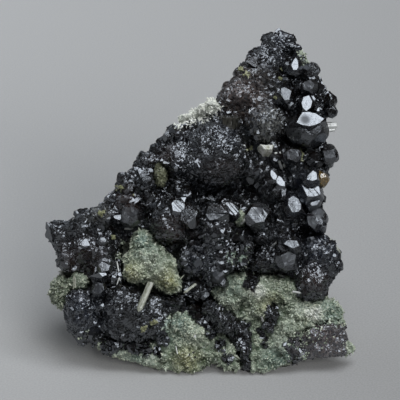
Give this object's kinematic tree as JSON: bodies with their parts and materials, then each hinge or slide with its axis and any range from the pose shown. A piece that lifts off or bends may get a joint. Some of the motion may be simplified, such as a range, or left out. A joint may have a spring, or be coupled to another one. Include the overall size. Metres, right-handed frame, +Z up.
{
  "type": "sphalerite specimen",
  "caption": "Upright mineral specimen: knobs of black sphalerite crystals and green drusy quartz on a leaning wedge of host rock with a flat broken foot.",
  "frame": {"origin": "under the middle of the specimen, on the surface that it rests on", "axes": "+Z up; the crystal-covered face looks towards -Y and leans back; +X to the right of a viewer facing it"},
  "size_m": [0.0924, 0.0536, 0.0965],
  "materials": {
    "host_rock": "matte",
    "sphalerite_crust": "gloss",
    "sphalerite_crystal": "polished",
    "green_druse": "satin",
    "olive_quartz": "satin",
    "clear_quartz": "polished",
    "smoky_quartz": "polished",
    "honey_sphalerite": "polished"
  },
  "bodies": {
    "root": {"host_rock": "host_rock", "lens_crystal": "sphalerite_crystal", "peak_lens_crystal": "sphalerite_crystal", "round_crystal": "sphalerite_crystal", "flat_grey_crystal": "sphalerite_crystal", "edge_crystal_upper": "sphalerite_crystal", "small_bright_crystal": "sphalerite_crystal", "grey_table_crystal": "sphalerite_crystal", "smooth_flat_crystal": "sphalerite_crystal", "striated_group_crystal": "sphalerite_crystal", "striated_square_crystal": "sphalerite_crystal", "striped_bright_crystal": "sphalerite_crystal", "trapezoid_crystal": "sphalerite_crystal", "twin_lens_crystal": "sphalerite_crystal", "dark_prow_crystal": "sphalerite_crystal", "large_faced_crystal": "sphalerite_crystal", "bright_barrel_crystal": "sphalerite_crystal", "edge_crystal_middle": "sphalerite_crystal", "striped_right_crystal": "sphalerite_crystal", "edge_crystal_lower": "sphalerite_crystal", "blue_faced_crystal": "sphalerite_crystal", "grey_slab_crystal": "sphalerite_crystal", "ball_crystal": "sphalerite_crystal", "dark_foot_crystal": "sphalerite_crystal", "quartz_blade": "clear_quartz", "quartz_right_edge": "clear_quartz", "quartz_under_cushion": "clear_quartz", "quartz_left_corner": "clear_quartz", "quartz_smoky": "smoky_quartz", "quartz_white_wedge": "clear_quartz", "quartz_ball_edge": "clear_quartz", "honey_crystal": "honey_sphalerite", "druse_cushion": "green_druse", "druse_right": "green_druse", "druse_left_foot": "green_druse", "druse_left_corner": "green_druse", "druse_slope": "green_druse", "druse_behind_peak": "green_druse", "druse_right_corner": "green_druse", "druse_centre": "green_druse", "druse_between_balls": "green_druse", "olive_quartz": "olive_quartz", "sphalerite_main": "sphalerite_crust", "sphalerite_lower_left": "sphalerite_crust", "sphalerite_lower_middle": "sphalerite_crust", "sphalerite_lower_right": "sphalerite_crust", "sphalerite_island": "sphalerite_crust"}
  },
  "joints": []
}
